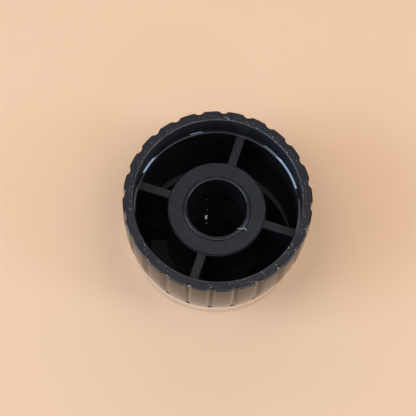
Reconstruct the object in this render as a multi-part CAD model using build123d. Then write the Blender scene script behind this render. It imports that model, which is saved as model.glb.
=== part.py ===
"""Push-on control knob: one moulded piece with a bowed, fluted grip, an open back and a webbed, bored boss.

The knob lies on its face with the open back up. The origin is the centre of the face. +Z is the bore's axis
and points out of the bore's mouth, and the webs lie along X and Y. Lengths are in mm, angles in degrees.
"""

import os
from math import cos, hypot, radians, sin

from build123d import *

# Outside
height = 10.8
grip_diameter = 20.0
grip_straight = 2.5
lip_diameter = 18.4
lip_height = 1.7
face_edge_break = 0.25
rim_edge_break = 0.12

# Flutes of the grip
flute_count = 24
flute_phase = -1.0
flute_depth = 0.25
flute_end_depth = 0.12
flute_flank_angle = 40
flute_edge_angle = 12

# Recess behind the rim, down to the seat where the webs end, with a slope at the foot of its wall
recess_depth = 3.1
rim_thickness = 1.12
rim_inner_break = 0.35
ledge_slope_width = 0.18
ledge_slope_rise = 0.15

# Pockets between the boss, the webs and the wall
pocket_count = 4
ledge_width = 0.28
boss_diameter = 10.5
web_thickness = 0.95
face_thickness = 2.0
pocket_corner_round = 0.2
pocket_edge_break = 0.08

# Top of the boss, a step above the webs, and the bore with the thin raised lip round its mouth
boss_step = 0.25
boss_shoulder = 0.12
boss_edge_break = 0.06
bore_diameter = 6.4
mouth_lip_width = 0.36
mouth_lip_height = 0.14

# How far a cut runs past the surface that it opens
overrun = 0.5

grip_radius = grip_diameter / 2
lip_radius = lip_diameter / 2
bore_radius = bore_diameter / 2
recess_radius = grip_radius - rim_thickness
pocket_radius = recess_radius - ledge_width
boss_top_radius = boss_diameter / 2 - boss_shoulder
mouth_radius = bore_radius + mouth_lip_width
knee_z = height - grip_straight
seat_z = height - recess_depth
boss_z = seat_z + boss_step
mouth_z = boss_z + mouth_lip_height


def corner_at(section, place):
    """Corner of a half section that lies at the given radius and height."""
    return min(section.vertices(), key=lambda v: hypot(v.X - place[0], v.Y - place[1]))


def blank():
    """The turned shape: lip, bowed grip, rim, recess and boss top, still solid below the seat."""
    face_edge = (lip_radius, 0)
    lip_top = (lip_radius, lip_height)
    knee = (grip_radius, knee_z)
    rim_edge = (grip_radius, height)
    rim_inner = (recess_radius, height)
    slope_top = (recess_radius, seat_z + ledge_slope_rise)
    slope_foot = (recess_radius - ledge_slope_width, seat_z)
    boss_foot = (boss_top_radius, seat_z)
    boss_edge = (boss_top_radius, boss_z)
    mouth_foot = (mouth_radius, boss_z)
    with BuildSketch(Plane.XZ) as section:
        with BuildLine():
            Polyline((0, 0), face_edge, lip_top)
            TangentArc(knee, lip_top, tangent=(0, -1))
            Polyline(knee, rim_edge, rim_inner, slope_top, slope_foot, boss_foot, boss_edge, mouth_foot)
            Polyline(mouth_foot, (mouth_radius, mouth_z), (0, mouth_z), (0, 0))
        make_face()
        chamfer(corner_at(section, face_edge), face_edge_break)
        chamfer(corner_at(section, rim_edge), rim_edge_break)
        chamfer(corner_at(section, rim_inner), rim_inner_break)
        chamfer(corner_at(section, boss_edge), boss_edge_break)
    return revolve(section.sketch, axis=Axis.Z)


def pocket():
    """Cutter of one pocket: a quarter of a ring with round corners."""
    ring = Circle(pocket_radius) - Circle(boss_diameter / 2)
    quarter = Rectangle(pocket_radius, pocket_radius, align=Align.MIN)
    plan = ring & Pos(web_thickness / 2, web_thickness / 2) * quarter
    plan = fillet(plan.vertices(), pocket_corner_round)
    return extrude(Pos(0, 0, seat_z) * plan, face_thickness - seat_z)


def bore():
    """Cutter of the bore, down to the level of the pockets' floor."""
    depth = mouth_z - face_thickness
    shaft = Cylinder(bore_radius, depth + overrun, align=(Align.CENTER, Align.CENTER, Align.MIN))
    return Pos(0, 0, face_thickness) * shaft


def pocket_edges(body):
    """Edges of the pockets' mouths, where each pocket opens in the seat."""
    on_web = Vector(0, boss_diameter / 2, seat_z)
    seat = [face for face in body.faces().filter_by(Plane.XY) if face.is_inside(on_web)]
    return [edge for wire in seat[0].inner_wires() for edge in wire.edges() if len(wire.edges()) > 1]


def flute_section():
    """Section of a flute's cutter: a round floor, two convex shoulders and a top that clears the grip."""
    flank, edge = radians(flute_flank_angle), radians(flute_edge_angle)
    radius = flute_depth / (1 + cos(edge) - 2 * cos(flank))
    flank_point = Vector(radius * sin(flank), radius * (1 - cos(flank)))
    edge_point = flank_point + Vector(radius * (sin(flank) - sin(edge)), radius * (cos(edge) - cos(flank)))
    outer_point = edge_point + Vector(overrun * cos(edge), overrun * sin(edge))
    with BuildSketch() as section:
        with BuildLine():
            floor = TangentArc((0, 0), flank_point, tangent=(1, 0))
            shoulder = TangentArc(flank_point, edge_point, tangent=floor % 1)
            top = outer_point.Y + overrun
            Polyline(shoulder @ 1, outer_point, (outer_point.X, top), (0, top))
            mirror(about=Plane.YZ)
        make_face()
    return section.sketch


def flute():
    """Cutter of one flute, which follows the bowed grip from above the rim to the lip."""
    start = grip_radius - flute_depth
    top = Vector(start, 0, height + overrun)
    knee = Vector(start, 0, knee_z)
    foot = Vector(lip_radius - flute_end_depth, 0, lip_height)
    path = Line(top, knee) + TangentArc(knee, foot, tangent=(0, 0, -1))
    across = Plane(top, x_dir=(0, -1, 0), z_dir=(0, 0, 1))
    return sweep(across * flute_section(), path=path)


def knob():
    """The whole moulding."""
    body = blank()
    prong = pocket()
    for index in range(pocket_count):
        body -= Rot(0, 0, index * 360 / pocket_count) * prong
    body -= bore()
    body = chamfer(pocket_edges(body), pocket_edge_break)
    groove = flute()
    for index in range(flute_count):
        body -= Rot(0, 0, flute_phase + index * 360 / flute_count) * groove
    return body


os.makedirs("parts", exist_ok=True)
export_step(knob(), "parts/knob.step")
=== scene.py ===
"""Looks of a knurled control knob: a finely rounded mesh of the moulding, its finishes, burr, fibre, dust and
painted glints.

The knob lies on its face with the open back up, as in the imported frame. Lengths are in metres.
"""

import math
import random

import bpy
from mathutils import Matrix, Vector
from mathutils.geometry import delaunay_2d_cdt


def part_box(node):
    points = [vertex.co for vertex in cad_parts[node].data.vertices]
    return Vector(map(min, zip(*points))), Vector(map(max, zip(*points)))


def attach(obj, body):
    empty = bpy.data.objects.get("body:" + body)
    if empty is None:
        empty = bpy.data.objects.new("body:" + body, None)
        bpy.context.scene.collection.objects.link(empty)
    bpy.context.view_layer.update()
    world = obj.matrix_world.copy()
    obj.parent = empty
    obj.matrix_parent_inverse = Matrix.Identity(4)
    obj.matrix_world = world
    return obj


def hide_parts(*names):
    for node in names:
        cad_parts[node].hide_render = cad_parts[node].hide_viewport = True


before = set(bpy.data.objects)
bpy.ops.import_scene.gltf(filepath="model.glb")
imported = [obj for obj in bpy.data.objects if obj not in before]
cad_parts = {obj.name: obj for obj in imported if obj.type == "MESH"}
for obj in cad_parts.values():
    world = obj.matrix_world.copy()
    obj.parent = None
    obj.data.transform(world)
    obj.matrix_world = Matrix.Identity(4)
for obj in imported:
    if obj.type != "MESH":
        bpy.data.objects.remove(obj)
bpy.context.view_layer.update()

MM = 0.001
QUARTER = math.pi / 2

# Outside of the moulding
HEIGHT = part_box("knob")[1].z
GRIP_RADIUS = 10.0 * MM
GRIP_STRAIGHT = 2.5 * MM
LIP_RADIUS = 9.2 * MM
LIP_HEIGHT = 1.7 * MM
FACE_EDGE_ROUND = 0.25 * MM
RIM_EDGE_ROUND = 0.13 * MM

# Flutes of the grip. The groove is the dull middle of a flute, and the softness rounds a flute's edges.
FLUTE_COUNT = 24
FLUTE_PHASE = math.radians(-1.0)
FLUTE_DEPTH = 0.25 * MM
FLUTE_END_DEPTH = 0.07 * MM
FLUTE_FLANK_ANGLE = math.radians(40)
FLUTE_EDGE_ANGLE = math.radians(12)
FLUTE_SOFTNESS = 0.015 * MM
GROOVE_HALF_WIDTH = 0.24 * MM

# Recess behind the rim, and the slope at the foot of its wall
RECESS_RADIUS = 8.88 * MM
RECESS_DEPTH = 3.1 * MM
RIM_INNER_ROUND = 0.17 * MM
LEDGE_RISE = 0.14 * MM
LEDGE_SAG = 0.006 * MM

# Pockets between the boss, the webs and the wall
POCKET_COUNT = 4
POCKET_RADIUS = 8.6 * MM
BOSS_RADIUS = 5.25 * MM
WEB_THICKNESS = 0.95 * MM
FACE_THICKNESS = 2.0 * MM
POCKET_CORNER_ROUND = 0.2 * MM
POCKET_EDGE_ROUND = 0.03 * MM
POCKET_FLOOR_ROUND = 0.03 * MM

# Top of the boss, and the bore with the raised lip round its mouth
BOSS_STEP = 0.25 * MM
BOSS_SHOULDER = 0.12 * MM
BOSS_EDGE_ROUND = 0.06 * MM
BORE_RADIUS = 3.2 * MM
MOUTH_LIP_WIDTH = 0.36 * MM
MOUTH_LIP_HEIGHT = 0.14 * MM
MOUTH_ROUND = 0.07 * MM

KNEE_Z = HEIGHT - GRIP_STRAIGHT
SEAT_Z = HEIGHT - RECESS_DEPTH
BOSS_Z = SEAT_Z + BOSS_STEP
MOUTH_Z = BOSS_Z + MOUTH_LIP_HEIGHT
MOUTH_RADIUS = BORE_RADIUS + MOUTH_LIP_WIDTH

# Fineness of the mesh. A flat face starts a margin away from the round beside it, so that it shades flat.
FLAT_MARGIN = 0.015 * MM
LEDGE_MARGIN = 2.5 * FLAT_MARGIN
FLUTE_FINE_HALF_WIDTH = 0.75 * MM
FLUTE_STEPS = 30
RIDGE_STEPS = 8
BOW_STEPS = 18
CIRCLE_STEPS = 240
ROUND_STEPS = 5
SMALL_ROUND_STEPS = 3
WALL_STEPS = 4
CORNER_STEPS = 8
OUTER_ARC_STEPS = 40
INNER_ARC_STEPS = 24
SHARP_ANGLE = math.radians(40)
FILL_TOLERANCE = 1e-6

# Finishes of the moulding, by their numbers in its mesh
GRIP, GROOVE, RIM, RIM_EDGE, RECESS, LEDGE, SEAT, BOSS, MOUTH, WALL, FLOOR, LIP, FACE = range(13)

# Patterns of the finishes
BLOTCH_SHARES = (0.35, 0.65)
MIDDLE_SHARES = (0.3, 0.7)
ROUGHNESS_FINENESS = 3
RING_UNEVENNESS = 1.5
RING_DETAIL = 2.0
BRUSHED_STRETCH = (0.02, 0.02, 1)

# Burr at the bore's mouth and fibre on the rim: bearings in degrees and radii in mm of the places they pass
BURR_RADIUS = 0.05 * MM
BURR_PLACES = [(330, 3.15), (334, 3.3), (336.5, 3.5), (339.5, 3.65), (340, 3.85), (338.5, 4.05)]
FIBRE_RADIUS = 0.035 * MM
FIBRE_PLACES = [(103, 9.35), (101, 9.2), (100, 9.05), (100.5, 8.95)]
STRAND_END_SHARE = 0.3
STRAND_BEVEL_STEPS = 2

# Dust and painted glints: bearing in degrees, radius in mm and size in mm of each fleck that the photograph
# shows. The flecks on the bore's floor are plain pale dots.
RIM_DUST_AND_GLINTS = [
    (48.5, 8.97, 0.06), (52, 8.97, 0.05), (57, 9.0, 0.055), (60.5, 9.05, 0.07), (64.5, 8.97, 0.07),
    (68, 9.15, 0.07), (97, 9.05, 0.05), (153, 8.97, 0.045), (157, 8.97, 0.05), (162, 9.0, 0.06),
    (195, 9.0, 0.045), (204.5, 9.3, 0.06), (215, 9.25, 0.045), (231, 9.1, 0.065), (251, 9.1, 0.06),
    (262, 9.15, 0.045), (283, 9.55, 0.05), (309, 9.6, 0.07), (338.5, 8.97, 0.05), (342.5, 9.0, 0.06),
    # From (240, 9.86) on, the rim's flecks sit on the flutes' corners at the outer edge: painted glints, not
    # dust.
    (359, 9.65, 0.06), (240, 9.86, 0.1), (255, 9.84, 0.11), (270, 9.85, 0.11), (311.5, 9.75, 0.08),
    (328, 9.7, 0.1), (344, 9.7, 0.08),
]
BOSS_FLECKS = [(175, 5.0, 0.05), (92, 3.75, 0.05), (18, 5.05, 0.05)]
BORE_FLECKS = [(125, 3.1, 0.05), (133, 2.0, 0.05), (183, 1.0, 0.06)]
FINE_FLECKS = 240
FINE_FLECK_SIZES = (0.015, 0.045)
FLECK_SIDES = 7
FLECK_REACH_SHARES = (0.6, 1.2)
FLECK_TOP_SHARE = 0.5
FLECK_FOOT_SHARE = 0.3
DUST_SEED = 7

# The photograph's view: where the rim's centre stands in the picture, and how the camera looks at it
PICTURE_PIXELS = 416
RIM_PIXEL = (217.8, 199.95)
FOCAL_PIXELS = 2000
SENSOR_WIDTH = 36
CLIP_START = 10 * MM
CAMERA_DISTANCE = 209.8 * MM
CAMERA_ELEVATION = math.radians(71.8)
CAMERA_AZIMUTH = math.radians(13.0)
CAMERA_ROLL = math.radians(5.0)

# Floor
FLOOR_HALF_WIDTH = 0.6
FLOOR_COLOUR = (0.685, 0.432, 0.254, 1)
FLOOR_ROUGHNESS = 0.7

# Room: its colours from the near side to the far side, along an axis that points away and a little down
ROOM_AWAY_SHARE = 0.94
ROOM_DOWN_SHARE = 0.34
ROOM_SOFT = (0.2, 0.195, 0.205)
ROOM_DIM = (0.04, 0.04, 0.044)
ROOM_PALE = (0.86, 0.75, 0.74)
ROOM_STOPS = [(0.0, ROOM_SOFT), (0.1, ROOM_SOFT), (0.3, ROOM_DIM), (0.575, ROOM_DIM), (0.75, ROOM_PALE)]

# Soft lights: name, bearing in the picture, elevation, distance, width and height, brightness and colour
WINDOW_BLUE = (0.66, 0.96, 1.4)
LAMP_WHITE = (1.0, 1.0, 1.0)
LAMP_BLUE = (0.88, 1.06, 1.12)
WARM_WHITE = (1.2, 0.94, 0.8)
SOFT_LIGHTS = [
    ("left_window", 190, 36, 0.45, (0.2, 0.16), 8.5, WINDOW_BLUE),
    ("left_wall", 212, 36, 0.5, (0.15, 0.16), 3.2, WINDOW_BLUE),
    ("left_back", 155, 24, 0.5, (0.2, 0.14), 1.3, LAMP_WHITE),
    ("right_back", 13, 27, 0.5, (0.14, 0.14), 1.3, LAMP_WHITE),
    ("right_window", -15, 36, 0.45, (0.1, 0.16), 8.5, WINDOW_BLUE),
    ("near_light", 292, 36, 0.5, (0.08, 0.1), 5.0, WINDOW_BLUE),
    ("far_light", 85, 27, 0.8, (1.3, 0.5), 0.5, WARM_WHITE),
    ("near_overhead", 270, 74, 0.7, (0.5, 0.5), 1.2, LAMP_WHITE),
    ("left_overhead", 190, 66, 0.7, (0.42, 0.42), 2.7, LAMP_WHITE),
    ("right_overhead", -14, 66, 0.7, (0.42, 0.42), 2.7, LAMP_WHITE),
]

# Lamps that the polished floors mirror: where in the picture, and how many pixels wide and high
LAMP_PIXEL = (206.3, 215.5)
LAMP_SIZE_PIXELS = (1.8, 7)
LAMP_BRIGHTNESS = 15.0
GLOW_PIXEL = (164, 256)
GLOW_SIZE_PIXELS = (26, 32)
GLOW_BRIGHTNESS = 0.22
LAMP_DISTANCE = 1.2


class Shell:
    """Collects a closed mesh from loops of points, strips between loops and flat fills."""

    def __init__(self):
        self.points = []
        self.faces = []
        self.finishes = []

    def loop(self, points):
        """Adds a ring of points and returns their numbers."""
        start = len(self.points)
        self.points.extend(points)
        return list(range(start, len(self.points)))

    def strip(self, lower, upper, finish):
        """Joins two rings of equal length with quads, which face outward where rings climb an outside wall.

        The finish is one for the whole strip, or a list with one for each quad.
        """
        count = len(lower)
        for i in range(count):
            j = (i + 1) % count
            self.faces.append((lower[i], lower[j], upper[j], upper[i]))
        self.finishes.extend(finish if isinstance(finish, list) else [finish] * count)

    def strips(self, rings, finish):
        """Joins a row of rings, one to the next."""
        for lower, upper in zip(rings, rings[1:]):
            self.strip(lower, upper, finish)

    def fill(self, outer, holes, finish, upward=True):
        """Fills the flat region inside one ring and outside the others."""
        rings = [outer, *holes]
        numbers = [number for ring in rings for number in ring]
        outlines = [[Vector(self.points[number][:2]) / MM for number in ring] for ring in rings]
        flat = [point for outline in outlines for point in outline]
        edges = []
        for ring in rings:
            start = len(edges)
            count = len(ring)
            edges.extend((start + i, start + (i + 1) % count) for i in range(count))
        places, _, triangles, sources, _, _ = delaunay_2d_cdt(flat, edges, [], 0, FILL_TOLERANCE)
        for triangle in triangles:
            centre = sum((places[corner] for corner in triangle), Vector((0, 0))) / len(triangle)
            if not inside(centre, outlines[0]) or any(inside(centre, hole) for hole in outlines[1:]):
                continue
            corners = [numbers[sources[corner][0]] for corner in triangle]
            self.faces.append(corners if upward else corners[::-1])
            self.finishes.append(finish)

    def to_object(self, name, materials):
        """Makes the mesh object, smooth all over save at sharp corners."""
        mesh = bpy.data.meshes.new(name)
        mesh.from_pydata(self.points, [], self.faces)
        for material in materials:
            mesh.materials.append(material)
        mesh.polygons.foreach_set("material_index", self.finishes)
        mesh.polygons.foreach_set("use_smooth", [True] * len(self.faces))
        mesh.validate()
        mesh.set_sharp_from_angle(angle=SHARP_ANGLE)
        obj = bpy.data.objects.new(name, mesh)
        bpy.context.scene.collection.objects.link(obj)
        return obj


def inside(point, outline):
    """True if a flat point lies inside a closed outline."""
    found = False
    x, y = point
    for start, end in zip(outline, outline[1:] + outline[:1]):
        if (start.y > y) != (end.y > y):
            crossing = start.x + (y - start.y) / (end.y - start.y) * (end.x - start.x)
            if x < crossing:
                found = not found
    return found


def circle(radius, z):
    """Points of a circle round the axis."""
    turn = 2 * math.pi / CIRCLE_STEPS
    return [(radius * math.cos(i * turn), radius * math.sin(i * turn), z) for i in range(CIRCLE_STEPS)]


def arc(centre, radius, start, end, steps):
    """Flat points along an arc, with both its ends."""
    x, y = centre
    turns = [start + (end - start) * i / steps for i in range(steps + 1)]
    return [(x + radius * math.cos(turn), y + radius * math.sin(turn)) for turn in turns]


def quarter_turn(steps=ROUND_STEPS):
    """Pairs of sine and cosine from 0 to 90 degrees."""
    return [(math.sin(i / steps * QUARTER), math.cos(i / steps * QUARTER)) for i in range(steps + 1)]


# Outer wall

def flute_angles():
    """Angles round the grip, close together in each flute and wide apart on each ridge."""
    zone = FLUTE_FINE_HALF_WIDTH / GRIP_RADIUS
    pitch = 2 * math.pi / FLUTE_COUNT
    steps = [-zone + 2 * zone * i / FLUTE_STEPS for i in range(FLUTE_STEPS)]
    steps += [zone + (pitch - 2 * zone) * i / RIDGE_STEPS for i in range(RIDGE_STEPS)]
    return [FLUTE_PHASE + index * pitch + step for index in range(FLUTE_COUNT) for step in steps]


def flute_rise(across):
    """Height of a flute's section over its floor, at a distance from its middle."""
    radius = FLUTE_DEPTH / (1 + math.cos(FLUTE_EDGE_ANGLE) - 2 * math.cos(FLUTE_FLANK_ANGLE))
    flank = radius * math.sin(FLUTE_FLANK_ANGLE)
    across = min(abs(across), 2 * flank)
    if across <= flank:
        return radius - math.sqrt(radius**2 - across**2)
    return math.sqrt(radius**2 - (across - 2 * flank)**2) + radius * (1 - 2 * math.cos(FLUTE_FLANK_ANGLE))


def grip_radius_at(z):
    """Radius of the ridges: straight under the rim, then bowed in to the lip."""
    if z >= KNEE_Z:
        return GRIP_RADIUS
    drop = GRIP_RADIUS - LIP_RADIUS
    run = KNEE_Z - LIP_HEIGHT
    bow = (drop**2 + run**2) / (2 * drop)
    return GRIP_RADIUS - bow + math.sqrt(bow**2 - (KNEE_Z - z)**2)


def flute_offset(angle):
    """Angle from the middle of the nearest flute."""
    pitch = 2 * math.pi / FLUTE_COUNT
    return (angle - FLUTE_PHASE + pitch / 2) % pitch - pitch / 2


def fluted_ring(z, inset, angles):
    """Points round the grip at one height, with the flutes cut in and the whole set in by a little."""
    share = min(1.0, max(0.0, (KNEE_Z - z) / (KNEE_Z - LIP_HEIGHT)))
    depth = FLUTE_DEPTH + (FLUTE_END_DEPTH - FLUTE_DEPTH) * share**2
    ridge = grip_radius_at(z)
    points = []
    for angle in angles:
        cut = depth - flute_rise(flute_offset(angle) * ridge)
        cut = (cut + math.sqrt(cut**2 + FLUTE_SOFTNESS**2)) / 2
        radius = ridge - cut - inset
        points.append((radius * math.cos(angle), radius * math.sin(angle), z))
    return points


def build_outside(shell):
    """Face, lip, fluted grip and the rim's outer edge. Returns the rim face's outer ring."""
    angles = flute_angles()

    def plain_ring(radius, z):
        """A ring with no flutes, and as many points as the fluted ones."""
        return shell.loop([(radius * math.cos(angle), radius * math.sin(angle), z) for angle in angles])

    face_rings = [plain_ring(LIP_RADIUS - FACE_EDGE_ROUND - FLAT_MARGIN, 0)]
    for sine, cosine in quarter_turn():
        radius = LIP_RADIUS - FACE_EDGE_ROUND * (1 - sine)
        face_rings.append(plain_ring(radius, FACE_EDGE_ROUND * (1 - cosine)))
    shell.fill(face_rings[0], [], FACE, upward=False)
    shell.strips(face_rings, LIP)
    lip_top = plain_ring(LIP_RADIUS, LIP_HEIGHT)
    shell.strip(face_rings[-1], lip_top, LIP)
    grip_foot = shell.loop(fluted_ring(LIP_HEIGHT, 0, angles))
    shell.strip(lip_top, grip_foot, GROOVE)
    heights = [LIP_HEIGHT + (KNEE_Z - LIP_HEIGHT) * (i + 1) / BOW_STEPS for i in range(BOW_STEPS)]
    heights.append(HEIGHT - RIM_EDGE_ROUND)
    rings = [grip_foot] + [shell.loop(fluted_ring(z, 0, angles)) for z in heights]
    for sine, cosine in quarter_turn()[1:]:
        z = HEIGHT - RIM_EDGE_ROUND * (1 - sine)
        rings.append(shell.loop(fluted_ring(z, RIM_EDGE_ROUND * (1 - cosine), angles)))
    in_groove = [abs(flute_offset(angle)) * GRIP_RADIUS < GROOVE_HALF_WIDTH for angle in angles]
    shell.strips(rings, [GROOVE if hit else GRIP for hit in in_groove])
    rim_outer = shell.loop(fluted_ring(HEIGHT, RIM_EDGE_ROUND + FLAT_MARGIN, angles))
    shell.strip(rings[-1], rim_outer, RIM)
    return rim_outer


# Inside

def build_recess(shell, rim_outer):
    """Rim face, the rim's inner edge, the recess wall and the ledge. Returns the seat's outer ring."""
    rings = [shell.loop(circle(RECESS_RADIUS + RIM_INNER_ROUND + FLAT_MARGIN, HEIGHT))]
    for sine, cosine in quarter_turn(2 * ROUND_STEPS):
        radius = RECESS_RADIUS + RIM_INNER_ROUND * (1 - sine)
        rings.append(shell.loop(circle(radius, HEIGHT - RIM_INNER_ROUND * (1 - cosine))))
    shell.fill(rim_outer, [rings[0]], RIM)
    shell.strips(rings, RIM_EDGE)
    foot = POCKET_RADIUS + POCKET_EDGE_ROUND + LEDGE_MARGIN
    ledge = []
    for i in range(ROUND_STEPS + 1):
        share = i / ROUND_STEPS
        radius = RECESS_RADIUS + (foot - RECESS_RADIUS) * share
        sag = 4 * LEDGE_SAG * share * (1 - share)
        ledge.append(shell.loop(circle(radius, SEAT_Z + LEDGE_RISE * (1 - share) - sag)))
    ledge.append(shell.loop(circle(foot - FLAT_MARGIN, SEAT_Z)))
    shell.strip(rings[-1], ledge[0], RECESS)
    shell.strips(ledge, LEDGE)
    return ledge[-1]


def pocket_outline(grow):
    """Flat outline of the first pocket, grown outward by a little: a quarter ring with round corners."""
    outer = POCKET_RADIUS + grow
    inner = BOSS_RADIUS - grow
    corner = POCKET_CORNER_ROUND + grow
    side = WEB_THICKNESS / 2 - grow + corner
    near = math.sqrt((inner + corner)**2 - side**2)
    far = math.sqrt((outer - corner)**2 - side**2)
    inner_tilt = math.atan2(side, near)
    outer_tilt = math.atan2(side, far)
    return [
        *arc((far, side), corner, -QUARTER, outer_tilt, CORNER_STEPS),
        *arc((0, 0), outer, outer_tilt, QUARTER - outer_tilt, OUTER_ARC_STEPS)[1:-1],
        *arc((side, far), corner, QUARTER - outer_tilt, 2 * QUARTER, CORNER_STEPS),
        *arc((side, near), corner, 2 * QUARTER, 3 * QUARTER - inner_tilt, CORNER_STEPS),
        *arc((0, 0), inner, QUARTER - inner_tilt, inner_tilt, INNER_ARC_STEPS)[1:-1],
        *arc((near, side), corner, 2 * QUARTER + inner_tilt, 3 * QUARTER, CORNER_STEPS),
    ]


def build_pockets(shell):
    """The pockets, with rounded mouths and floor edges. Returns their rings in the seat."""
    depth = SEAT_Z - FACE_THICKNESS
    levels = [(POCKET_EDGE_ROUND + FLAT_MARGIN, SEAT_Z)]
    for sine, cosine in quarter_turn():
        levels.append((POCKET_EDGE_ROUND * (1 - sine), SEAT_Z - POCKET_EDGE_ROUND * (1 - cosine)))
    levels += [(0, SEAT_Z - depth * i / WALL_STEPS) for i in range(1, WALL_STEPS)]
    foot_z = FACE_THICKNESS + POCKET_FLOOR_ROUND
    for sine, cosine in quarter_turn(SMALL_ROUND_STEPS):
        levels.append((-POCKET_FLOOR_ROUND * (1 - cosine), foot_z - POCKET_FLOOR_ROUND * sine))
    levels.append((-POCKET_FLOOR_ROUND - FLAT_MARGIN, FACE_THICKNESS))
    mouths = []
    for index in range(POCKET_COUNT):
        turn = Matrix.Rotation(index * 2 * math.pi / POCKET_COUNT, 2)
        rings = []
        for grow, z in levels:
            rings.append(shell.loop([(*(turn @ Vector(point)), z) for point in pocket_outline(grow)]))
        shell.strips(rings, WALL)
        shell.fill(rings[-1], [], FLOOR)
        mouths.append(rings[0])
    return mouths


def build_boss_top(shell):
    """The boss's step above the seat. Returns its foot ring and its top face's outer ring."""
    radius = BOSS_RADIUS - BOSS_SHOULDER
    rings = [shell.loop(circle(radius + FLAT_MARGIN, SEAT_Z)), shell.loop(circle(radius, SEAT_Z))]
    for sine, cosine in quarter_turn():
        z = BOSS_Z - BOSS_EDGE_ROUND * (1 - sine)
        rings.append(shell.loop(circle(radius - BOSS_EDGE_ROUND * (1 - cosine), z)))
    rings.append(shell.loop(circle(radius - BOSS_EDGE_ROUND - FLAT_MARGIN, BOSS_Z)))
    shell.strips(rings, BOSS)
    return rings[0], rings[-1]


def build_mouth_lip(shell, boss_outer):
    """The boss's top face and the raised lip in its middle. Returns the ring where the bore starts."""
    top = MOUTH_Z - MOUTH_ROUND
    turns = quarter_turn(SMALL_ROUND_STEPS)
    rings = [shell.loop(circle(MOUTH_RADIUS + MOUTH_ROUND + FLAT_MARGIN, BOSS_Z))]
    for sine, cosine in turns:
        z = BOSS_Z + MOUTH_ROUND * (1 - cosine)
        rings.append(shell.loop(circle(MOUTH_RADIUS + MOUTH_ROUND * (1 - sine), z)))
    for sine, cosine in turns:
        rings.append(shell.loop(circle(MOUTH_RADIUS - MOUTH_ROUND * (1 - cosine), top + MOUTH_ROUND * sine)))
    for sine, cosine in turns:
        rings.append(shell.loop(circle(BORE_RADIUS + MOUTH_ROUND * (1 - sine), top + MOUTH_ROUND * cosine)))
    shell.fill(boss_outer, [rings[0]], BOSS)
    shell.strips(rings[:SMALL_ROUND_STEPS + 1], WALL)
    shell.strips(rings[SMALL_ROUND_STEPS:], MOUTH)
    return rings[-1]


def build_bore(shell, mouth):
    """The bore's wall and its floor, which is level with the pockets' floors."""
    depth = MOUTH_Z - MOUTH_ROUND - FACE_THICKNESS
    levels = [FACE_THICKNESS + depth * i / WALL_STEPS for i in range(WALL_STEPS - 1, 0, -1)]
    rings = [mouth] + [shell.loop(circle(BORE_RADIUS, z)) for z in levels]
    for sine, cosine in quarter_turn(SMALL_ROUND_STEPS):
        z = FACE_THICKNESS + POCKET_FLOOR_ROUND * (1 - sine)
        rings.append(shell.loop(circle(BORE_RADIUS - POCKET_FLOOR_ROUND * (1 - cosine), z)))
    rings.append(shell.loop(circle(BORE_RADIUS - POCKET_FLOOR_ROUND - FLAT_MARGIN, FACE_THICKNESS)))
    shell.strips(rings, WALL)
    shell.fill(rings[-1], [], FLOOR)


def build_knob(materials):
    """The whole moulding as one closed mesh."""
    shell = Shell()
    rim_outer = build_outside(shell)
    seat_outer = build_recess(shell, rim_outer)
    mouths = build_pockets(shell)
    boss_foot, boss_outer = build_boss_top(shell)
    bore_mouth = build_mouth_lip(shell, boss_outer)
    build_bore(shell, bore_mouth)
    shell.fill(seat_outer, [*mouths, boss_foot], SEAT)
    return shell.to_object("knob_moulding", materials)


# Patterns and reliefs

def pattern(tree, size, detail=3.0, stretch=(1, 1, 1)):
    """Noise on the object's own coordinates, with features of about one size."""
    place = tree.nodes.new("ShaderNodeTexCoord")
    mapping = tree.nodes.new("ShaderNodeMapping")
    mapping.inputs["Scale"].default_value = stretch
    noise = tree.nodes.new("ShaderNodeTexNoise")
    noise.inputs["Scale"].default_value = 1 / size
    noise.inputs["Detail"].default_value = detail
    tree.links.new(place.outputs["Object"], mapping.inputs["Vector"])
    tree.links.new(mapping.outputs["Vector"], noise.inputs["Vector"])
    return noise.outputs["Fac"]


def rings_pattern(tree, size):
    """Fine rings round the bore's axis, uneven like a mould's turned face."""
    place = tree.nodes.new("ShaderNodeTexCoord")
    wave = tree.nodes.new("ShaderNodeTexWave")
    wave.wave_type = "RINGS"
    wave.rings_direction = "Z"
    wave.inputs["Scale"].default_value = 1 / (2 * math.pi * size)
    wave.inputs["Distortion"].default_value = RING_UNEVENNESS
    wave.inputs["Detail"].default_value = RING_DETAIL
    tree.links.new(place.outputs["Object"], wave.inputs["Vector"])
    return wave.outputs["Fac"]


def climb_pattern(tree):
    """How far up the recess a place lies, from the seat to the rim."""
    place = tree.nodes.new("ShaderNodeTexCoord")
    axes = tree.nodes.new("ShaderNodeSeparateXYZ")
    climb = tree.nodes.new("ShaderNodeMapRange")
    climb.inputs["From Min"].default_value = SEAT_Z
    climb.inputs["From Max"].default_value = HEIGHT
    tree.links.new(place.outputs["Object"], axes.inputs["Vector"])
    tree.links.new(axes.outputs["Z"], climb.inputs["Value"])
    return climb.outputs["Result"]


def colours_along(tree, source, stops):
    """Colours laid along a pattern's value."""
    ramp = tree.nodes.new("ShaderNodeValToRGB")
    elements = ramp.color_ramp.elements
    while len(elements) < len(stops):
        elements.new(0.5)
    for element, (position, colour) in zip(elements, stops):
        element.position = position
        element.color = (*colour, 1)
    tree.links.new(source, ramp.inputs["Fac"])
    return ramp.outputs["Color"]


def spread(tree, source, low, high):
    """A pattern's middle values spread from low to high."""
    node = tree.nodes.new("ShaderNodeMapRange")
    node.inputs["From Min"].default_value = MIDDLE_SHARES[0]
    node.inputs["From Max"].default_value = MIDDLE_SHARES[1]
    node.inputs["To Min"].default_value = low
    node.inputs["To Max"].default_value = high
    tree.links.new(source, node.inputs["Value"])
    return node.outputs["Result"]


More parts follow.
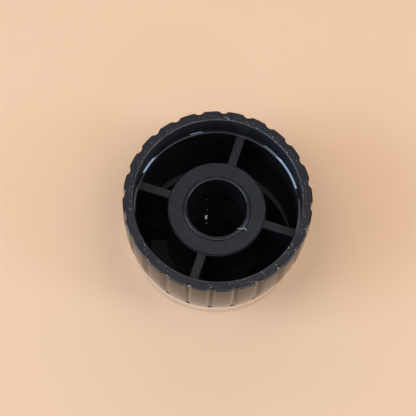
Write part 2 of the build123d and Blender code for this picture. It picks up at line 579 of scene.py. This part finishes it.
def add_relief(material, source, height):
    """Lays surface relief from a pattern over a finish, on top of any relief that it has."""
    tree = material.node_tree
    socket = tree.nodes["Principled BSDF"].inputs["Normal"]
    node = tree.nodes.new("ShaderNodeBump")
    node.inputs["Strength"].default_value = 1.0
    node.inputs["Distance"].default_value = height
    tree.links.new(source, node.inputs["Height"])
    if socket.links:
        tree.links.new(socket.links[0].from_socket, node.inputs["Normal"])
    tree.links.new(node.outputs["Normal"], socket)


def add_grain(material, size, height):
    """Lays a fine grain over a finish."""
    add_relief(material, pattern(material.node_tree, size), height)


def add_rings(material, size, height):
    """Lays fine turned rings over a finish."""
    add_relief(material, rings_pattern(material.node_tree, size), height)


# Finishes

def blotches(dark, light):
    """Colour stops of a surface that varies in blotches between two colours."""
    return list(zip(BLOTCH_SHARES, (dark, light)))


def finish(name, stops, roughness, specular=0.5, metallic=0.0, blotch=1.2 * MM, along=None):
    """A finish with colours laid along blotches or another pattern, and with uneven roughness."""
    material = bpy.data.materials.new(name)
    material.use_nodes = True
    tree = material.node_tree
    shader = tree.nodes["Principled BSDF"]
    shader.inputs["Specular IOR Level"].default_value = specular
    shader.inputs["Metallic"].default_value = metallic
    source = along(tree) if along else pattern(tree, blotch)
    tree.links.new(colours_along(tree, source, stops), shader.inputs["Base Color"])
    patches = pattern(tree, blotch / ROUGHNESS_FINENESS)
    tree.links.new(spread(tree, patches, *roughness), shader.inputs["Roughness"])
    return material


def grip_finish():
    """Gloss of the grip's ridges."""
    colours = blotches(dark=(0.005, 0.005, 0.005), light=(0.008, 0.008, 0.008))
    material = finish("grip_gloss", colours, roughness=(0.07, 0.14), specular=0.62)
    add_grain(material, size=0.3 * MM, height=0.0008 * MM)
    return material


def groove_finish():
    """Duller middle of the flutes."""
    colours = blotches(dark=(0.004, 0.0038, 0.0036), light=(0.007, 0.0066, 0.006))
    return finish("groove_dull", colours, roughness=(0.12, 0.25), specular=0.15)


def rim_finish():
    """Satin of the rim, with fine scuffs round it and a grain that glints."""
    colours = blotches(dark=(0.006, 0.0057, 0.0067), light=(0.0112, 0.0105, 0.0124))
    material = finish("rim_satin", colours, roughness=(0.42, 0.56), specular=0.26, blotch=0.7 * MM)
    add_grain(material, size=0.1 * MM, height=0.006 * MM)
    add_rings(material, size=0.05 * MM, height=0.0015 * MM)
    return material


def rim_edge_finish():
    """Worn inner edge of the rim, with fine streaks round it that break up the light."""
    colours = blotches(dark=(0.008, 0.0077, 0.009), light=(0.014, 0.0134, 0.0157))
    material = finish("rim_edge_worn", colours, roughness=(0.3, 0.44), blotch=0.4 * MM)
    add_grain(material, size=0.12 * MM, height=0.006 * MM)
    add_rings(material, size=0.04 * MM, height=0.003 * MM)
    return material


def recess_finish():
    """Gloss of the recess wall, with painted shade: dark low down by the seat, paler grey toward the rim."""
    # Painted shade: the wall's colour climbs from near black at the seat to pale grey at the rim.
    painted_shade_stops = [(0.1, (0.008, 0.0075, 0.0088)), (0.55, (0.015, 0.014, 0.0163)), (1.0, (0.034, 0.032, 0.036))]
    material = finish("recess_gloss_painted_shade", painted_shade_stops, roughness=(0.28, 0.42), blotch=0.5 * MM, along=climb_pattern)
    add_grain(material, size=0.15 * MM, height=0.002 * MM)
    return material


def ledge_finish():
    """Gloss of the slope at the foot of the recess wall."""
    colours = blotches(dark=(0.005, 0.005, 0.0056), light=(0.008, 0.008, 0.0088))
    return finish("ledge_gloss", colours, roughness=(0.03, 0.07))


def seat_finish():
    """Satin of the webs."""
    colours = blotches(dark=(0.009, 0.0083, 0.0096), light=(0.0128, 0.0118, 0.0136))
    material = finish("web_satin", colours, roughness=(0.46, 0.58), specular=0.22)
    add_grain(material, size=0.08 * MM, height=0.003 * MM)
    return material


def boss_finish():
    """Satin of the boss's top, with the faint turning marks of the mould."""
    colours = blotches(dark=(0.009, 0.0083, 0.0096), light=(0.0128, 0.0118, 0.0136))
    material = finish("boss_satin", colours, roughness=(0.46, 0.58), specular=0.24, blotch=0.9 * MM)
    add_grain(material, size=0.08 * MM, height=0.003 * MM)
    add_rings(material, size=0.06 * MM, height=0.0015 * MM)
    return material


def mouth_finish():
    """Gloss of the raised lip round the bore's mouth, in a grey lighter than the boss's: a painted highlight.
    """
    colours = blotches(dark=(0.013, 0.0124, 0.014), light=(0.02, 0.019, 0.0212))
    return finish("mouth_gloss_painted_highlight", colours, roughness=(0.1, 0.2))


def wall_finish():
    """Dull black of the walls of the pockets and the bore."""
    colours = blotches(dark=(0.0056, 0.0048, 0.0056), light=(0.0076, 0.0066, 0.0076))
    return finish("pocket_wall", colours, roughness=(0.5, 0.6), specular=0.04)


def floor_finish():
    """Polished black of the floors of the pockets and the bore, deeper than the rest of the moulding: painted
    shade at the bottoms of the hollows.
    """
    colours = blotches(dark=(0.0011, 0.0009, 0.0011), light=(0.0015, 0.0013, 0.0015))
    return finish("pocket_floor_painted_shade", colours, roughness=(0.004, 0.008), specular=0.22)


def lip_finish():
    """Bright metallised band, brushed round the lip."""
    colours = blotches(dark=(0.90, 0.87, 0.83), light=(0.96, 0.93, 0.89))
    material = finish("lip_bright", colours, roughness=(0.2, 0.24), metallic=0.85, blotch=2.0 * MM)
    brushed = pattern(material.node_tree, size=0.06 * MM, stretch=BRUSHED_STRETCH)
    add_relief(material, brushed, height=0.0003 * MM)
    return material


def face_finish():
    """Satin of the plain face that the knob lies on."""
    colours = blotches(dark=(0.006, 0.006, 0.0065), light=(0.009, 0.009, 0.0096))
    material = finish("face_satin", colours, roughness=(0.3, 0.4))
    add_grain(material, size=0.1 * MM, height=0.002 * MM)
    return material


def fleck_finish():
    """Pale grey of the burr, the fibre, the dust and the painted glints on the flutes' corners."""
    colours = blotches(dark=(0.16, 0.17, 0.19), light=(0.30, 0.31, 0.33))
    return finish("pale_fleck", colours, roughness=(0.4, 0.6))


# Burr, fibre, dust and painted glints

def polar(degrees, radius, z):
    """Point at a bearing round the axis, at a radius and a height."""
    turn = math.radians(degrees)
    return Vector((radius * math.cos(turn), radius * math.sin(turn), z))


def add_strand(name, places, z, radius, material):
    """A thin round strand at one height, smooth between its places and thin at both ends."""
    curve = bpy.data.curves.new(name, "CURVE")
    curve.dimensions = "3D"
    curve.bevel_depth = radius
    curve.bevel_resolution = STRAND_BEVEL_STEPS
    curve.use_fill_caps = True
    spline = curve.splines.new("BEZIER")
    spline.bezier_points.add(len(places) - 1)
    for knot, (bearing, reach) in zip(spline.bezier_points, places):
        knot.co = polar(bearing, reach * MM, z)
        knot.handle_left_type = "AUTO"
        knot.handle_right_type = "AUTO"
    for end in (spline.bezier_points[0], spline.bezier_points[-1]):
        end.radius = STRAND_END_SHARE
    shape = bpy.data.objects.new(name, curve)
    mesh = bpy.data.meshes.new_from_object(shape)
    bpy.data.objects.remove(shape)
    obj = bpy.data.objects.new(name, mesh)
    mesh.materials.append(material)
    bpy.context.scene.collection.objects.link(obj)
    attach(obj, "root")


def dust_fleck(centre, size, draws):
    """Points and faces of a small uneven fleck that lies flat at a place."""
    turn = 2 * math.pi / FLECK_SIDES
    ring = []
    for i in range(FLECK_SIDES):
        reach = size * draws.uniform(*FLECK_REACH_SHARES)
        ring.append(centre + Vector((reach * math.cos(i * turn), reach * math.sin(i * turn), 0)))
    top = centre + Vector((0, 0, FLECK_TOP_SHARE * size))
    foot = centre - Vector((0, 0, FLECK_FOOT_SHARE * size))
    faces = [(i, (i + 1) % FLECK_SIDES, FLECK_SIDES) for i in range(FLECK_SIDES)]
    faces += [((i + 1) % FLECK_SIDES, i, FLECK_SIDES + 1) for i in range(FLECK_SIDES)]
    return [*ring, top, foot], faces


def rim_height(radius):
    """Height of the rim's surface at a radius, down over the round of its inner edge."""
    share = max(0.0, 1 - (radius - RECESS_RADIUS) / RIM_INNER_ROUND)
    return HEIGHT - RIM_INNER_ROUND * (1 - math.sqrt(1 - share**2))


def fleck_places(draws):
    """Place and size of each fleck: those that the photograph shows, painted glints on the flutes' corners
    among them, and finer ones strewn over the rim.
    """
    flecks = []
    for bearing, radius, size in RIM_DUST_AND_GLINTS:
        flecks.append((polar(bearing, radius * MM, rim_height(radius * MM)), size * MM))
    for bearing, radius, size in BOSS_FLECKS:
        flecks.append((polar(bearing, radius * MM, BOSS_Z), size * MM))
    for bearing, radius, size in BORE_FLECKS:
        flecks.append((polar(bearing, radius * MM, FACE_THICKNESS), size * MM))
    for _ in range(FINE_FLECKS):
        radius = draws.uniform(RECESS_RADIUS + RIM_INNER_ROUND / 2, GRIP_RADIUS - 2 * FLUTE_DEPTH)
        place = polar(draws.uniform(0, 360), radius, rim_height(radius))
        flecks.append((place, draws.uniform(*FINE_FLECK_SIZES) * MM))
    return flecks


def add_dust_and_glints(material):
    """All the flecks, dust and painted glints, as one piece."""
    draws = random.Random(DUST_SEED)
    points = []
    faces = []
    for centre, size in fleck_places(draws):
        fleck_points, fleck_faces = dust_fleck(centre, size, draws)
        faces += [tuple(number + len(points) for number in face) for face in fleck_faces]
        points += fleck_points
    mesh = bpy.data.meshes.new("dust_and_glints")
    mesh.from_pydata(points, [], faces)
    mesh.materials.append(material)
    dust_and_glints = bpy.data.objects.new("dust_and_glints", mesh)
    bpy.context.scene.collection.objects.link(dust_and_glints)
    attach(dust_and_glints, "root")


# Stage, lights and camera

def picture_axes():
    """Right, up and back of the photograph's camera."""
    sine, cosine = math.sin(CAMERA_AZIMUTH), math.cos(CAMERA_AZIMUTH)
    level = math.cos(CAMERA_ELEVATION)
    back = Vector((sine * level, -cosine * level, math.sin(CAMERA_ELEVATION)))
    right = Vector((cosine, sine, 0))
    up = back.cross(right)
    turned_right = math.cos(CAMERA_ROLL) * right + math.sin(CAMERA_ROLL) * up
    turned_up = math.cos(CAMERA_ROLL) * up - math.sin(CAMERA_ROLL) * right
    return turned_right, turned_up, back


def add_camera():
    """The photograph's camera, placed so that the rim's centre stands at its pixel."""
    data = bpy.data.cameras.new("camera")
    data.sensor_width = SENSOR_WIDTH
    data.lens = FOCAL_PIXELS / PICTURE_PIXELS * SENSOR_WIDTH
    data.clip_start = CLIP_START
    camera = bpy.data.objects.new("camera", data)
    bpy.context.scene.collection.objects.link(camera)
    right, up, back = picture_axes()
    middle = PICTURE_PIXELS / 2
    metres_per_pixel = CAMERA_DISTANCE / FOCAL_PIXELS
    across = (RIM_PIXEL[0] - middle) * metres_per_pixel
    above = (middle - RIM_PIXEL[1]) * metres_per_pixel
    place = Vector((0, 0, HEIGHT)) + back * CAMERA_DISTANCE - right * across - up * above
    camera.matrix_world = Matrix.Translation(place) @ Matrix((right, up, back)).transposed().to_4x4()
    bpy.context.scene.camera = camera


def add_floor():
    """The plain floor that the knob lies on."""
    half = FLOOR_HALF_WIDTH
    corners = [(-half, -half, 0), (half, -half, 0), (half, half, 0), (-half, half, 0)]
    mesh = bpy.data.meshes.new("floor")
    mesh.from_pydata(corners, [], [(0, 1, 2, 3)])
    floor = bpy.data.objects.new("floor", mesh)
    bpy.context.scene.collection.objects.link(floor)
    material = bpy.data.materials.new("floor")
    material.use_nodes = True
    shader = material.node_tree.nodes["Principled BSDF"]
    shader.inputs["Base Color"].default_value = FLOOR_COLOUR
    shader.inputs["Roughness"].default_value = FLOOR_ROUGHNESS
    mesh.materials.append(material)


def world_bearing(picture_angle):
    """Bearing in the frame of a direction that is given in degrees round the picture."""
    return math.radians(picture_angle) + CAMERA_ROLL + CAMERA_AZIMUTH


def add_light(name, place, away, size, brightness, colour):
    """A flat light of a given brightness that shines back along a direction."""
    data = bpy.data.lights.new(name, "AREA")
    data.shape = "RECTANGLE"
    data.size, data.size_y = size
    data.energy = brightness * math.pi * size[0] * size[1]
    data.color = colour
    light = bpy.data.objects.new(name, data)
    bpy.context.scene.collection.objects.link(light)
    light.location = place
    light.rotation_mode = "QUATERNION"
    light.rotation_quaternion = away.to_track_quat("Z", "Y")


def add_softbox(name, picture_angle, elevation, distance, size, brightness, colour):
    """A soft light that aims at the knob, placed by its bearing in the photograph and its height."""
    bearing = world_bearing(picture_angle)
    rise = math.radians(elevation)
    away = Vector((math.cos(bearing) * math.cos(rise), math.sin(bearing) * math.cos(rise), math.sin(rise)))
    add_light(name, away * distance, away, size, brightness, colour)


def add_mirrored_lamp(name, pixel, size_pixels, brightness, colour):
    """A small lamp overhead, where the knob's polished floors mirror it to one place in the picture."""
    right, up, back = picture_axes()
    middle = PICTURE_PIXELS / 2
    start = bpy.context.scene.camera.matrix_world.translation
    ray = right * (pixel[0] - middle) / FOCAL_PIXELS + up * (middle - pixel[1]) / FOCAL_PIXELS - back
    reach = (FACE_THICKNESS - start.z) / ray.z
    hit = start + ray * reach
    mirrored = Vector((ray.x, ray.y, -ray.z)).normalized()
    scale = (reach + LAMP_DISTANCE) / FOCAL_PIXELS
    size = (size_pixels[0] * scale, size_pixels[1] * scale)
    add_light(name, hit + mirrored * LAMP_DISTANCE, mirrored, size, brightness, colour)


def add_world():
    """A dim room that is pale low down on its far side and softly lit on its near side."""
    world = bpy.data.worlds.new("world")
    bpy.context.scene.world = world
    world.use_nodes = True
    tree = world.node_tree
    far = world_bearing(90)
    place = tree.nodes.new("ShaderNodeTexCoord")
    along = tree.nodes.new("ShaderNodeVectorMath")
    along.operation = "DOT_PRODUCT"
    axis = (ROOM_AWAY_SHARE * math.cos(far), ROOM_AWAY_SHARE * math.sin(far), -ROOM_DOWN_SHARE)
    along.inputs[1].default_value = axis
    tree.links.new(place.outputs["Generated"], along.inputs[0])
    share = tree.nodes.new("ShaderNodeMapRange")
    share.inputs["From Min"].default_value = -1.0
    tree.links.new(along.outputs["Value"], share.inputs["Value"])
    colour = colours_along(tree, share.outputs["Result"], ROOM_STOPS)
    tree.links.new(colour, tree.nodes["Background"].inputs["Color"])


# The knob
FINISHES = {
    GRIP: grip_finish(),
    GROOVE: groove_finish(),
    RIM: rim_finish(),
    RIM_EDGE: rim_edge_finish(),
    RECESS: recess_finish(),
    LEDGE: ledge_finish(),
    SEAT: seat_finish(),
    BOSS: boss_finish(),
    MOUTH: mouth_finish(),
    WALL: wall_finish(),
    FLOOR: floor_finish(),
    LIP: lip_finish(),
    FACE: face_finish(),
}
knob = build_knob([FINISHES[number] for number in sorted(FINISHES)])
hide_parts("knob")
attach(knob, "root")

# What lies on it
pale = fleck_finish()
add_strand("burr", BURR_PLACES, MOUTH_Z + BURR_RADIUS, BURR_RADIUS, pale)
add_strand("fibre", FIBRE_PLACES, HEIGHT + FIBRE_RADIUS, FIBRE_RADIUS, pale)
add_dust_and_glints(pale)

# What stands round it
bpy.context.scene.view_settings.view_transform = "Standard"
add_world()
add_floor()
add_camera()
for soft_light in SOFT_LIGHTS:
    add_softbox(*soft_light)
add_mirrored_lamp("lamp", LAMP_PIXEL, LAMP_SIZE_PIXELS, LAMP_BRIGHTNESS, LAMP_BLUE)
add_mirrored_lamp("glow", GLOW_PIXEL, GLOW_SIZE_PIXELS, GLOW_BRIGHTNESS, LAMP_WHITE)
